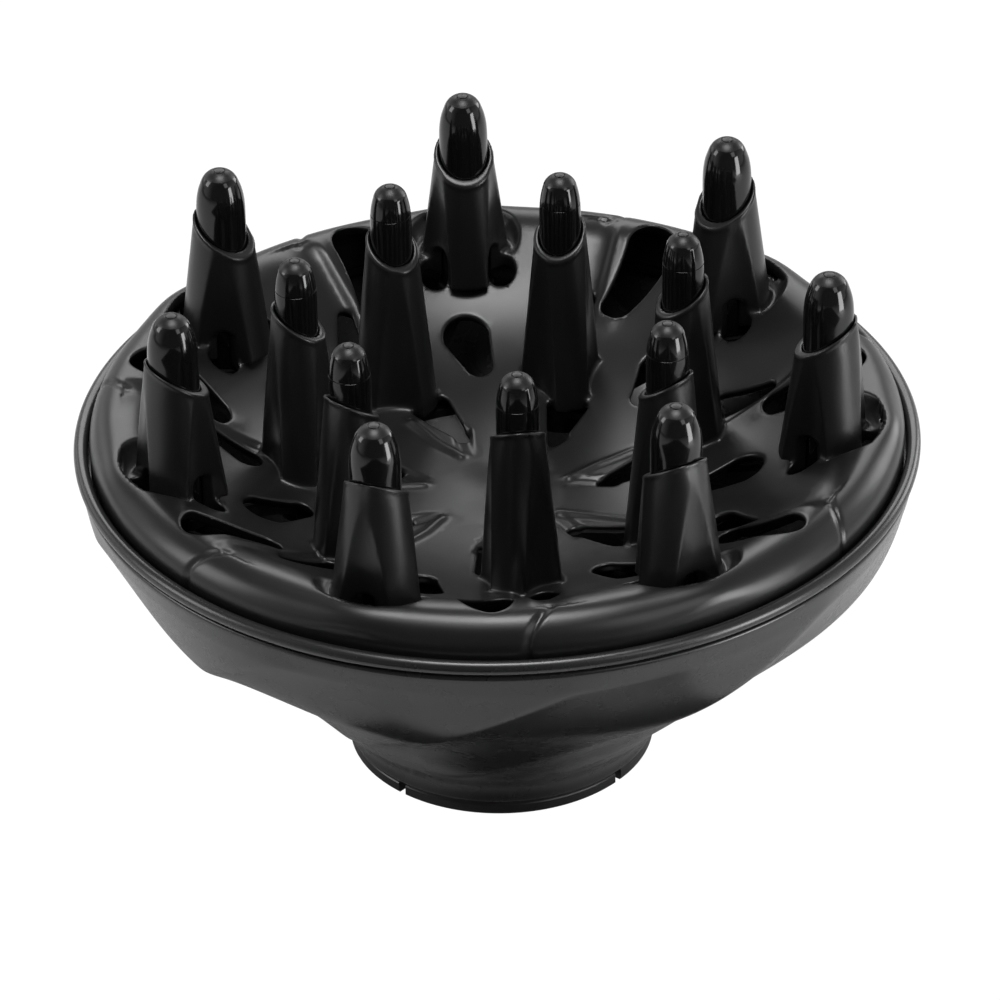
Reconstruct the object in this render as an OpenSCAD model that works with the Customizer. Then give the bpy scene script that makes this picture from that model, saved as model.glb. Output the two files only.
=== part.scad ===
// Diffuser bowl with a ring of hollow combing fingers.
// Turning the dish in the bowl draws the glossy prongs down into their sleeves.
// Origin: centre of the neck's bottom face. +Z points out of the dish.

/* [Bowl] */
// Outside diameter of the rim
rim_d = 150; // [146:1:158]
// Height of the rim above the neck's bottom face
rim_h = 64.4; // [63:0.2:67]
// Wall of the bowl, measured level
bowl_wall = 2.8; // [2.4:0.1:3]
// Width of the rolled lip round the rim
lip_w = 2.5; // [2.2:0.1:2.8]
// Number of twisted facets round the bowl
facet_count = 9; // [7:1:12]
// Depth of a facet below its two edges
facet_depth = 1.6; // [0.4:0.2:2]
// Turn of a facet's edge between the rim and the neck, in degrees
facet_turn = 66; // [42:4:82]

/* [Neck] */
// Diameter of the dryer barrel that the clip ring grips
barrel_d = 49; // [47:0.5:50]
// Wall of the neck at its lower edge
neck_wall = 2.1; // [1.7:0.1:2.7]
// Height of the bowl's floor above the neck's bottom face
floor_h = 11; // [10:0.5:12]
// Height of the clip ring's flange
flange_h = 3; // [2:0.2:4]
// Step from the neck's edge in to the clip ring's flange
flange_step = 0.55; // [0.3:0.05:0.8]
// Wall of the clip ring's sprung sleeve
clip_wall = 1.4; // [1.2:0.1:1.5]
// Width of the slots that let the clip ring spring open
clip_slot_w = 1.6; // [1:0.1:3]
// Height of those slots
clip_slot_h = 5.6; // [4:0.2:7]

/* [Dish] */
// Thickness of the dish, measured upright
dish_wall = 2.2; // [1.8:0.1:2.4]
// Depth of the dish's hub below the rim
hub_drop = 13.3; // [12.5:0.1:14]
// Height of the rolled edge above the rim
roll_rise = 6; // [5:0.2:7]
// Width from the rolled edge's crest to the dish's outer edge
roll_w = 5.5; // [5:0.1:6]
// Number of fingers in each of the two rings
finger_count = 7; // [5:1:7]

/* [Outer fingers] */
// Radius of the ring on which the outer fingers stand
outer_ring_r = 58.5; // [57.5:0.1:59]
// Height of an outer prong's apex above the rim
outer_apex = 35.2; // [33:0.2:38]
// Outside diameter of an outer sleeve at its mouth
outer_mouth_d = 10.4; // [10.2:0.1:11]
// Outside diameter of an outer sleeve where it meets the dish
outer_base_d = 16; // [15:0.2:16.6]
// Diameter of an outer prong's stem
outer_stem_d = 8.6; // [8.2:0.1:8.8]
// Diameter of an outer prong under its dome
outer_tip_d = 7.5; // [7:0.1:8]

/* [Inner fingers] */
// Radius of the ring on which the inner fingers stand
inner_ring_r = 35.2; // [34.8:0.1:35.6]
// Height of an inner prong's apex above the rim
inner_apex = 32.6; // [31:0.2:35]
// Outside diameter of an inner sleeve at its mouth
inner_mouth_d = 8.2; // [8:0.1:8.8]
// Outside diameter of an inner sleeve where it meets the dish
inner_base_d = 14.4; // [13.6:0.2:15]
// Diameter of an inner prong's stem
inner_stem_d = 6.6; // [6.2:0.1:6.8]
// Diameter of an inner prong under its dome
inner_tip_d = 5.7; // [5.3:0.1:6]

/* [Prong drive] */
// How far a prong stands out of the middle of its mouth
prong_proud = 12; // [11:0.5:14]
// How far the prongs draw in
prong_travel = 9; // [6:0.5:10]
// Turn of the dish that draws them in, in degrees
dish_turn = 45; // [35:1:60]
// Wall of the hollow prongs
prong_wall = 1.1; // [0.9:0.1:1.3]
// Diameter of the cam pins
cam_pin_d = 3; // [2.4:0.1:3.4]
// Wall of the cam collar
collar_wall = 2; // [1.6:0.1:2.2]
// Clearance between pieces that slide or turn on each other
run_gap = 0.3; // [0.25:0.01:0.4]

/* [Hidden] */
$fn = 48;
cut = 1;
rim_r = rim_d / 2;
barrel_r = barrel_d / 2;
pitch = 360 / finger_count;
outer_phase = 95.2;
inner_phase = outer_phase + pitch * 0.512;

// Rim and lip
lip_h = 2.1;
lip_foot_in = 0.3;
groove_h = 0.8;
groove_in = 1.5;
groove_foot_in = 0.7;
seam_drop = 7.4;
seam_z = rim_h - seam_drop;
wall_in = 1.5;
bowl_top = [rim_r - wall_in, seam_z];
clip_gap = 0.2;
clip_r = barrel_r + clip_wall;
neck_bore_r = clip_r + clip_gap;
neck_r = neck_bore_r + neck_wall;
flange_r = neck_r - flange_step;
foot_out = 5;
foot_up = 0.4;
bowl_foot = [neck_r + foot_out, floor_h + foot_up];
bowl_pull_top = [rim_r - 8.4, rim_h - 28.5];
bowl_pull_foot = [rim_r - 11.7, rim_h - 18.8];
seam_tongue = 1.5;
seam_in = 0.4;
tongue_out = 0.9;
tongue_in = 1;
tongue_step = 0.6;
tongue_narrow = 1.4;
edge_phase = 278.5;
edge_bow = 8;
edge_proud = 0.45;
facet_skew = 0.62;
facet_fade = 0.6;
facet_steps = 6;
wall_steps = 16;
dish_gap = 0.4;
dish_r = rim_r - lip_w - dish_gap;
skirt_t = 1.6;
ledge_drop = 4.9;
ledge_z = rim_h - ledge_drop;
ledge_in = 0.4;
ledge_r = dish_r - skirt_t - ledge_in;
ledge_t = 1.6;
snap_up = 1.5;
snap_z = ledge_z + snap_up;
snap_h = 0.9;
snap_out = 0.6;
snap_ramp = 0.3;

// Neck and clip ring
clip_slots = 4;
clip_phase = 49;
stop_h = 1.8;
stop_in = 1.5;
stop_r = barrel_r - stop_in;
floor_in = 0.2;
flare_low = [0.3, 3.2];
flare_high = [2, 2.4];

// Dish
hub_z = rim_h - hub_drop;
crest_z = rim_h + roll_rise;
crest_r = dish_r - roll_w;
slope_in = 12.6;
slope_r = crest_r - slope_in;
slope_drop = 6.7;
slope_z = crest_z - slope_drop;
slope_rise = 0.7;
slope_pull = 6;
crest_pull = 4.1;
vent_tuck = 0.03;

// Sleeves
mouth_tilt = 33;
root_under = 1.2;
sleeve_root = dish_wall + root_under;
flute_count = 3;
flute_share = 0.23;
flute_tip_r = 0.1;
flute_under = 4.5;
outward_under = 2;
base_sink = 0.8;
outer_mouth_z = rim_h + outer_apex - prong_proud;
inner_mouth_z = rim_h + inner_apex - prong_proud;
outer_base_z = dish_z(slope_r) + slope_rise * (outer_ring_r - slope_r) - base_sink;
inner_base_z = dish_z(inner_ring_r);

// Prongs and their carrier
outer_pad_gap = 2.15;
inner_pad_gap = 0.7;
outer_pad_z = outer_base_z - sleeve_root - outer_pad_gap;
inner_pad_z = inner_base_z - sleeve_root - inner_pad_gap;
pad_t = 2;
post_t = 5.5;
spigot_h = 4;
spigot_gap = 0.3;
pad_out = 0.9;
outer_pad_r = outer_stem_d / 2 + pad_out;
inner_pad_r = inner_stem_d / 2 + pad_out;
carrier_ring_w = 4;
carrier_ring_t = 1.5;
carrier_ring_in = 1;
bar_w = 3;
bar_t = 2.2;
outer_bar_drop = 1.35;
inner_bar_drop = 4.1;
collar_in = 1.5;
collar_over = 2.5;
collar_r = barrel_r + collar_in + collar_wall;
hub_in = collar_r + run_gap;
hub_wall = 3;
hub_h = 4;
pin_rise = 16.5;
pin_z = floor_h + pin_rise;
pin_end = 0.5;
collar_top = pin_z + cam_pin_d / 2 + collar_over;
pin_count = 3;
pin_phase = 20;
leg_w = 5;
leg_t = 3.4;
leg_in = 1.5;
leg_r = hub_in + leg_in;

// Point at t on the cubic curve with end points a, d and handles b, c
function curve(t, a, b, c, d) =
    pow(1 - t, 3) * a + 3 * pow(1 - t, 2) * t * b + 3 * (1 - t) * t * t * c + t * t * t * d;

// Height of the dish's top face at radius r, inside the rolled edge
function dish_z(r) = hub_z + (slope_z - hub_z) * pow(r / slope_r, 3);

// Position [r, z] of a facet's edge, from the rim (t = 0) to the floor (t = 1)
function edge_pt(t) = curve(t, bowl_top, bowl_pull_top, bowl_pull_foot, bowl_foot);

// Angle of that edge, measured from its place at the rim
function edge_turn(t) = let (s = (bowl_top[1] - edge_pt(t)[1]) / (bowl_top[1] - bowl_foot[1]))
    -facet_turn * s + edge_bow * sin(180 * s * s);

function ring_pt(t, j, inset) = let (
    p = edge_pt(t),
    share = (j % facet_steps) / facet_steps,
    dip = sin(180 * pow(share, facet_skew)) - edge_proud,
    r = p[0] - inset - facet_depth * pow(sin(180 * t), facet_fade) * dip,
    a = edge_phase + edge_turn(t) + 360 * j / (facet_count * facet_steps)
) [r * cos(a), r * sin(a), p[1]];

// Wall with twisted facets, from the seam under the rim down to the seam above the neck
module twisted_wall() {
    n = facet_count * facet_steps;
    side = [for (inset = [0, bowl_wall]) for (i = [0:wall_steps]) for (j = [0:n - 1])
        ring_pt(i / wall_steps, j, inset)];
    rings = [0:wall_steps - 1];
    columns = [0:n - 1];
    // Corner j of ring i on the outside (k = 0) or the inside (k = 1)
    function at(k, i, j) = (k * (wall_steps + 1) + i) * n + j % n;
    faces = concat(
        [for (i = rings) for (j = columns) [at(0, i, j), at(0, i + 1, j + 1), at(0, i + 1, j)]],
        [for (i = rings) for (j = columns) [at(0, i, j), at(0, i, j + 1), at(0, i + 1, j + 1)]],
        [for (i = rings) for (j = columns) [at(1, i, j), at(1, i + 1, j), at(1, i + 1, j + 1)]],
        [for (i = rings) for (j = columns) [at(1, i, j), at(1, i + 1, j + 1), at(1, i, j + 1)]],
        [for (j = columns) [at(0, 0, j), at(1, 0, j), at(1, 0, j + 1)]],
        [for (j = columns) [at(0, 0, j), at(1, 0, j + 1), at(0, 0, j + 1)]],
        [for (j = columns) [at(0, wall_steps, j), at(1, wall_steps, j + 1), at(1, wall_steps, j)]],
        [for (j = columns) [at(0, wall_steps, j), at(0, wall_steps, j + 1), at(1, wall_steps, j + 1)]]
    );
    polyhedron(points = side, faces = faces, convexity = 6);
}

// Half profile of the rim: a tongue in the wall's seam, the ledge that carries the dish,
// its bore with the snap groove, the rolled lip and the groove under the lip
module rim_profile() {
    bead = lip_w / 2;
    bore_r = dish_r + dish_gap;
    snap_r = dish_r + snap_out + run_gap;
    snap_half = snap_h / 2 + run_gap;
    polygon(concat(
        [[bowl_top[0] - bowl_wall + tongue_in, seam_z - seam_tongue]],
        [[bowl_top[0] - tongue_out, seam_z - seam_tongue], [bowl_top[0] - seam_in / 2, seam_z]],
        [[rim_r - groove_foot_in, rim_h - lip_h - groove_h]],
        [[rim_r - groove_in, rim_h - lip_h - groove_h], [rim_r - groove_in, rim_h - lip_h]],
        [[rim_r - lip_foot_in, rim_h - lip_h]],
        [for (a = [0:15:165]) [rim_r - bead + bead * cos(a), rim_h - bead + bead * sin(a)]],
        [[bore_r, rim_h - bead], [bore_r, snap_z + snap_half]],
        [[snap_r, snap_z + snap_half - snap_ramp], [snap_r, snap_z - snap_half + snap_ramp]],
        [[bore_r, snap_z - snap_half], [bore_r, ledge_z]],
        [[ledge_r, ledge_z], [ledge_r, ledge_z - ledge_t]],
        [[bowl_top[0] - bowl_wall + seam_in, seam_z]]
    ));
}

// Half profile of the neck: its flare, the tongue in the wall's seam, the floor that
// carries the cam collar, the step that stops the barrel and the clip ring's bore
module neck_profile() {
    foot = [neck_r, flange_h];
    top = bowl_foot - [seam_in, 0];
    polygon(concat(
        [for (t = [0:0.125:1]) curve(t, foot, foot + flare_low, top - flare_high, top)],
        [bowl_foot + [tongue_step, seam_tongue]],
        [bowl_foot + [tongue_step - bowl_wall + tongue_narrow, seam_tongue]],
        [[bowl_foot[0] - bowl_wall + seam_in, bowl_foot[1]]],
        [[bowl_foot[0] - bowl_wall - floor_in, floor_h]],
        [[stop_r, floor_h], [stop_r, floor_h - stop_h]],
        [[neck_bore_r, floor_h - stop_h], [neck_bore_r, flange_h]]
    ));
}

module outer_bowl() color([0.16, 0.16, 0.165]) {
    twisted_wall();
    rotate_extrude($fn = 96) rim_profile();
    rotate_extrude($fn = 96) neck_profile();
}

module clip_ring() color([0.06, 0.06, 0.065])
    difference() {
        union() {
            cylinder(h = flange_h, r = flange_r);
            cylinder(h = floor_h - stop_h - clip_gap, r = clip_r);
        }
        translate([0, 0, -cut]) cylinder(h = floor_h + 2 * cut, r = barrel_r);
        for (i = [0:clip_slots - 1])
            rotate([0, 0, clip_phase + i * 360 / clip_slots])
                translate([barrel_r - cut, -clip_slot_w / 2, -cut])
                    cube([flange_r, clip_slot_w, clip_slot_h + cut]);
    }

// Path of a cam pin as the dish turns: s runs from 0, prongs out, to 1, prongs in
function pin_turn(s) = dish_turn * s;
function pin_height(s) = pin_z - prong_travel * s;

// Slot that a cam pin rides in
module cam_slot() {
    r_in = collar_r - collar_wall - cut;
    r_out = collar_r + cut;
    half = cam_pin_d / 2 + run_gap;
    rise = atan(prong_travel / (collar_r * dish_turn * PI / 180));
    lean = half / cos(rise);
    steps = 10;
    corners = [[r_in, -lean], [r_out, -lean], [r_out, lean], [r_in, lean]];
    points = [for (i = [0:steps]) let (a = pin_turn(i / steps)) for (c = corners)
        [c[0] * cos(a), c[0] * sin(a), pin_height(i / steps) + c[1]]];
    faces = concat(
        [[3, 2, 1, 0]],
        [[for (j = [0:3]) 4 * steps + j]],
        [for (i = [0:steps - 1]) for (j = [0:3]) let (a = i * 4 + j, b = i * 4 + (j + 1) % 4)
            [a, b + 4, a + 4]],
        [for (i = [0:steps - 1]) for (j = [0:3]) let (a = i * 4 + j, b = i * 4 + (j + 1) % 4)
            [a, b, b + 4]]
    );
    polyhedron(points = points, faces = faces, convexity = 4);
    for (s = [0, 1])
        rotate([0, 0, pin_turn(s)]) translate([r_in, 0, pin_height(s)])
            rotate([0, 90, 0]) cylinder(h = r_out - r_in, r = half);
}

module cam_collar() color([0.2, 0.2, 0.21])
    difference() {
        translate([0, 0, floor_h]) cylinder(h = collar_top - floor_h, r = collar_r);
        translate([0, 0, floor_h - cut])
            cylinder(h = collar_top - floor_h + 2 * cut, r = collar_r - collar_wall);
        for (i = [0:pin_count - 1])
            rotate([0, 0, pin_phase + i * 360 / pin_count]) cam_slot();
    }

// Half profile of the dish, its rolled edge and the skirt that turns in the rim
module dish_profile() {
    bowl_r = [for (i = [0:9]) slope_r * i / 9];
    crest = [crest_r, crest_z];
    start = [slope_r, slope_z];
    run = [for (t = [0.125:0.125:0.875])
        curve(t, start, start + slope_pull * [1, slope_rise], crest - [crest_pull, 0], crest)];
    roll = [for (a = [90:-15:0]) [crest_r + roll_w * cos(a), crest_z - roll_w + roll_w * sin(a)]];
    inner = roll_w - skirt_t;
    under = [for (a = [0:15:90]) [crest_r + inner * cos(a), crest_z - roll_w + inner * sin(a)]];
    polygon(concat(
        [for (r = bowl_r) [r, dish_z(r)]],
        run,
        roll,
        [[dish_r, snap_z + snap_h / 2 + snap_out], [dish_r + snap_out, snap_z + snap_h / 2]],
        [[dish_r + snap_out, snap_z - snap_h / 2], [dish_r, snap_z - snap_h / 2 - snap_ramp]],
        [[dish_r, ledge_z], [dish_r - skirt_t, ledge_z]],
        under,
        [for (i = [len(run) - 1:-1:0]) run[i] - [0, dish_wall]],
        [for (i = [9:-1:0]) [bowl_r[i], dish_z(bowl_r[i]) - dish_wall]]
    ));
}

// Outside of one sleeve, cut off slantwise at its mouth, which is low on the side at -X
module sleeve_outside(mouth_d, base_d, mouth_z, base_z) {
    over = mouth_d;
    grow = (base_d - mouth_d) / 2 / (mouth_z - base_z);
    difference() {
        translate([0, 0, base_z - sleeve_root])
            cylinder(h = mouth_z - base_z + sleeve_root + over, r1 = base_d / 2 + grow * sleeve_root,
                     r2 = mouth_d / 2 - grow * over);
        translate([0, 0, mouth_z]) rotate([0, -mouth_tilt, 0])
            translate([-2 * base_d, -2 * base_d, 0]) cube([4 * base_d, 4 * base_d, 3 * over]);
    }
}

// Bore and three flutes of one sleeve; first is the direction of its first flute and unders
// says how far below the sleeve's base each flute goes on
module sleeve_cuts(mouth_d, base_d, stem_d, mouth_z, base_z, first, unders) {
    sleeve_h = mouth_z - base_z;
    flute_r = base_d * flute_share;
    lean = atan((base_d - mouth_d) / 2 / sleeve_h);
    translate([0, 0, hub_z - dish_wall - cut]) cylinder(h = mouth_z, r = stem_d / 2 + run_gap);
    for (i = [0:flute_count - 1]) {
        reach = (sleeve_h + unders[i]) / cos(lean);
        rotate([0, 0, first + i * 360 / flute_count]) translate([mouth_d / 2, 0, mouth_z])
            rotate([0, -lean, 0]) translate([0, 0, -reach])
                cylinder(h = reach, r1 = flute_r * (1 + unders[i] / sleeve_h), r2 = flute_tip_r, $fn = 32);
    }
}

// Opening with two round ends of different radius, whose sides cross the ends just inside them
module egg_vent(p, r, q, s) {
    d = norm(q - p);
    along = atan2(q[1] - p[1], q[0] - p[0]);
    side = acos((r - s) / d);
    translate([0, 0, hub_z - dish_wall - cut]) linear_extrude(height = rim_h) {
        translate(p) circle(r = r);
        translate(q) circle(r = s);
        polygon([for (k = [[p, r, side], [q, s, side], [q, s, -side], [p, r, -side]])
            k[0] + (k[1] - vent_tuck) * [cos(along + k[2]), sin(along + k[2])]]);
    }
}

// Point at radius r, turned from +Y by a share of the fingers' pitch
function spot(share, r) = r * [-sin(pitch * share), cos(pitch * share)];

// Openings of one sector, laid out with its outer finger on +Y
module sector_vents() {
    egg_vent(spot(0.357, outer_ring_r + 3.4), 4.9, spot(0.387, outer_ring_r - 7), 2.9);
    egg_vent(spot(0.036, inner_ring_r + 7.9), 4.2, spot(-0.009, inner_ring_r + 1.8), 2.6);
    egg_vent(spot(0.387, inner_ring_r - 7), 3.7, spot(0.263, inner_ring_r - 16), 1.4);
    egg_vent(spot(0.541, inner_ring_r + 13.9), 2.4, spot(0.594, inner_ring_r + 9.6), 2.5);
}

// Places copies of its children at each finger of a ring, with +X pointing outward
module at_fingers(phase, r) {
    for (i = [0:finger_count - 1])
        rotate([0, 0, phase + i * pitch]) translate([r, 0, 0]) children();
}

module front_dish() color([0.13, 0.13, 0.135])
    difference() {
        union() {
            rotate_extrude($fn = 96) dish_profile();
            at_fingers(outer_phase, outer_ring_r)
                sleeve_outside(outer_mouth_d, outer_base_d, outer_mouth_z, outer_base_z);
            at_fingers(inner_phase, inner_ring_r)
                sleeve_outside(inner_mouth_d, inner_base_d, inner_mouth_z, inner_base_z);
        }
        at_fingers(outer_phase, outer_ring_r)
            sleeve_cuts(outer_mouth_d, outer_base_d, outer_stem_d, outer_mouth_z, outer_base_z, 0,
                        [outward_under, flute_under, flute_under]);
        at_fingers(inner_phase, inner_ring_r)
            sleeve_cuts(inner_mouth_d, inner_base_d, inner_stem_d, inner_mouth_z, inner_base_z, 204,
                        [flute_under, flute_under, flute_under]);
        for (i = [0:finger_count - 1])
            rotate([0, 0, outer_phase - 90 + i * pitch]) sector_vents();
    }

// Hollow prong standing on its pad: stem, taper above the mouth and round tip
module prong(stem_d, tip_d, foot_z, mouth_z, apex_z) {
    stem_r = stem_d / 2;
    tip_r = tip_d / 2;
    hollow_r = stem_r - prong_wall;
    tip_hollow_r = tip_r - prong_wall;
    dome = [for (a = [0:10:90]) [tip_r * cos(a), apex_z - tip_r + tip_r * sin(a)]];
    hollow = [for (a = [90:-15:0]) [tip_hollow_r * cos(a), apex_z - tip_r + tip_hollow_r * sin(a)]];
    rotate_extrude() polygon(concat(
        [[hollow_r, foot_z], [stem_r, foot_z], [stem_r, mouth_z]],
        dome,
        hollow,
        [[hollow_r, mouth_z]]
    ));
}

module outer_prong(i) color([0.05, 0.05, 0.055])
    rotate([0, 0, outer_phase + (i - 1) * pitch]) translate([outer_ring_r, 0, 0])
        prong(outer_stem_d, outer_tip_d, outer_pad_z, outer_mouth_z, rim_h + outer_apex);

module inner_prong(i) color([0.05, 0.05, 0.055])
    rotate([0, 0, inner_phase + (i - 1) * pitch]) translate([inner_ring_r, 0, 0])
        prong(inner_stem_d, inner_tip_d, inner_pad_z, inner_mouth_z, rim_h + inner_apex);

// Pad or post of height t, with a spigot that centres a prong
module pad(r, stem_d, z, t) {
    translate([0, 0, z - t]) cylinder(h = t, r = r);
    translate([0, 0, z - pad_t / 2])
        cylinder(h = spigot_h + pad_t / 2, r = stem_d / 2 - prong_wall - spigot_gap);
}

// Straight bar between two points
module bar(p, q) {
    d = q - p;
    level = norm([d[0], d[1]]);
    translate(p) rotate([0, -atan2(d[2], level), atan2(d[1], d[0])])
        translate([0, -bar_w / 2, -bar_t / 2]) cube([norm(d), bar_w, bar_t]);
}

module prong_carrier() color([0.08, 0.08, 0.085]) {
    inner_mid = inner_pad_z - pad_t / 2;
    inner_bar_z = inner_pad_z - inner_bar_drop;
    outer_bar_z = outer_pad_z - outer_bar_drop;
    turned = inner_phase - outer_phase;
    difference() {
        union() {
            at_fingers(outer_phase, outer_ring_r)
                pad(outer_pad_r, outer_stem_d, outer_pad_z, pad_t);
            at_fingers(inner_phase, inner_ring_r)
                pad(inner_pad_r, inner_stem_d, inner_pad_z, post_t);
            for (i = [0:finger_count - 1]) rotate([0, 0, outer_phase + i * pitch])
                for (a = [turned, turned - pitch])
                    bar([inner_ring_r * cos(a), inner_ring_r * sin(a), inner_bar_z],
                        [outer_ring_r, 0, outer_bar_z]);
            translate([0, 0, inner_mid - carrier_ring_t / 2]) difference() {
                cylinder(h = carrier_ring_t, r = leg_r + leg_t + carrier_ring_w - carrier_ring_in);
                translate([0, 0, -cut])
                    cylinder(h = carrier_ring_t + 2 * cut, r = leg_r + carrier_ring_in);
            }
            for (i = [0:pin_count - 1]) rotate([0, 0, pin_phase + i * 360 / pin_count])
                translate([leg_r, -leg_w / 2, pin_z])
                    cube([leg_t, leg_w, inner_mid - pin_z]);
            translate([0, 0, pin_z - hub_h / 2]) difference() {
                cylinder(h = hub_h, r = hub_in + hub_wall);
                translate([0, 0, -cut]) cylinder(h = hub_h + 2 * cut, r = hub_in);
            }
        }
        for (i = [0:pin_count - 1]) rotate([0, 0, pin_phase + i * 360 / pin_count])
            translate([hub_in - cut, 0, pin_z]) rotate([0, 90, 0])
                cylinder(h = hub_wall + leg_t, r = cam_pin_d / 2);
    }
}

module cam_pins() color([0.6, 0.6, 0.62])
    for (i = [0:pin_count - 1]) rotate([0, 0, pin_phase + i * 360 / pin_count])
        translate([collar_r - collar_wall - pin_end, 0, pin_z]) rotate([0, 90, 0])
            cylinder(h = collar_wall + pin_end + run_gap + hub_wall, r = cam_pin_d / 2);

outer_bowl();
clip_ring();
cam_collar();
front_dish();
prong_carrier();
cam_pins();
for (i = [1:finger_count]) {
    outer_prong(i);
    inner_prong(i);
}
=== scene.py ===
"""Looks of a hair dryer's diffuser: a faceted bowl, a swept dish with fourteen sleeves, and their prongs.

The CAD part is the frame, and the bowl, clip ring, dish and prongs are modelled again here in finer detail.
Their lengths are in millimetres until a mesh is made, and MM turns them into metres. The stage is in metres.
Heights and radii are measured from the foot of the neck and from its axis.
"""

import math

import bpy
import numpy as np
import openvdb as vdb
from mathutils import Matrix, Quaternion, Vector


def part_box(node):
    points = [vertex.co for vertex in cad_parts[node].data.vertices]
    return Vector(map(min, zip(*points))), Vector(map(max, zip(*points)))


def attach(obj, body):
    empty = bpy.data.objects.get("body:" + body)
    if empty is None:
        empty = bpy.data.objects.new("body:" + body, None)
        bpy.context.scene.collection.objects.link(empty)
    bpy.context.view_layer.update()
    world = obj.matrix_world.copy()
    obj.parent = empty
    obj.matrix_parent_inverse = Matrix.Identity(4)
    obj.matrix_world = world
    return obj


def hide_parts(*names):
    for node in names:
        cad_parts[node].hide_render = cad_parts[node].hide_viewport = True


MM = 0.001
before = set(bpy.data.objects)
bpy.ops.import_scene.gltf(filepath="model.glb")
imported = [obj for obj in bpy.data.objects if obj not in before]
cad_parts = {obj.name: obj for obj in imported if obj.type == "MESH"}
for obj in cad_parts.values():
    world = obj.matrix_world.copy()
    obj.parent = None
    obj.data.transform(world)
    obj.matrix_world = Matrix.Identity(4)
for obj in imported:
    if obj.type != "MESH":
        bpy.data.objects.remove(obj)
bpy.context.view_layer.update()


def corners(node):
    """Two corners of a CAD node's box, in millimetres."""
    low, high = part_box(node)
    return np.array(low) / MM, np.array(high) / MM


def stands_at(node):
    """Radius and angle, in degrees, of a prong's axis."""
    low, high = corners(node)
    x, y = (low[:2] + high[:2]) / 2
    return math.hypot(x, y), math.degrees(math.atan2(y, x))


# Driving sizes, from the frame
bowl_low, bowl_high = corners("outer_bowl")
RIM_R = bowl_high[0]
RIM_Z = bowl_high[2]
NECK_Z = bowl_low[2]
FLANGE_R = corners("clip_ring")[1][0]
OUTER_R, OUTER_PHASE = stands_at("outer_prong_1")
INNER_R, INNER_PHASE = stands_at("inner_prong_1")
OUTER_APEX = corners("outer_prong_1")[1][2]
INNER_APEX = corners("inner_prong_1")[1][2]
FINGERS = 7
PITCH = 360 / FINGERS

# Bowl
FACETS = 9
FACET_TURN = 66  # degrees that a facet's edge goes round on its way down
FACET_BOW = 8  # degrees that it bows from an even turn
FACET_PHASE = 278.5
FACET_DEPTH = 2.8
FACET_SKEW = 0.62  # below 1, a facet is deepest nearer to its clockwise edge
FACET_FADE = 0.6  # how soon the facets die out at the lip and the neck
EDGE_PROUD = 0.5
EDGE_SOFT = 0.035  # share of a facet over which its edge is rounded
LIP_W = 2.5
GROOVE_DROP = 2.75
GROOVE = ((0.75, 0.75), (1.55, 0.65), (1.7, 0.3), (1.55, -0.05), (0.95, -0.2), (0.7, -0.45))  # inward and up
WALL = 2.8  # thickness, measured level
WALL_TOP = (RIM_R - 0.72, RIM_Z - GROOVE_DROP - 0.9)
SHOULDER = (RIM_R - 1.5, RIM_Z - 7.4)  # where the turned facets start
WALL_LEVELS = 90
WALL_PULLS = ((RIM_R - 8.4, RIM_Z - 28.5), (RIM_R - 11.7, RIM_Z - 18.8))
NECK_R = 28.2
FLOOR_Z = 11
FOOT = (NECK_R + 5, FLOOR_Z + 0.4)  # where the facets end
STOP_R, STOP_Z = 23, 9.2  # step that the dryer's barrel meets

# Clip ring
BARREL_R = 24.5
CLIP_R = 25.9
CLIP_TOP = 9.0
CLIP_SLOT_W, CLIP_SLOT_H = 1.6, 5.6
CLIP_PHASE = 49
CLIP_QUARTERS = 4
FLANGE_EDGE = 0.35
FLANGE_H = 3.0

# Dish
DISH_GAP = 0.4
DISH_R = RIM_R - LIP_W - DISH_GAP
DISH_WALL = 2.2
CREST_R = DISH_R - 5.5
CREST_Z = RIM_Z + 6
HUB_Z = RIM_Z - 13.3
LEDGE_Z = RIM_Z - 4.9
LEDGE_W, LEDGE_T = 2, 1.6
FLOOR_CURVE = 8e-5  # the floor rises with the cube of the radius, up to RAMP_FROM
RAMP_FROM, RAMP_SLOPE = 54, 0.7
CREST_FROM, CREST_ROUND = 61, 9.6
CREST_PUSH, PUSH_WIDTH = 1.9, 7.5  # the crest gives way behind each outer finger
PUSH_FROM, PUSH_TO = 50, 62
POCKET_R = 8.3  # of the level floor round each outer finger
HUB_DOME, HUB_DOME_R = 0.7, 10.3
HUB_GROOVE, HUB_GROOVE_R = 0.05, 10.6
VALLEY_DEPTH, VALLEY_RIDGE = 0.8, 0.18
WEDGE_DEPTH, WEDGE_RIDGE = 0.9, 0.55
FOLD_DEPTH, FOLD_LINE = 0.3, 0.16
SKIRT_FROM = 64
VENT_UNDERCUT = 0.6
QUICK_VOXEL, VOXEL = 0.4, 0.28
MESH_ADAPT = 0.01
OUTSIDE = 9  # a distance in millimetres that is far from every surface
NORMAL_REACH = 1.4  # in voxels, each way, over which the surface's slope is taken

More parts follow.
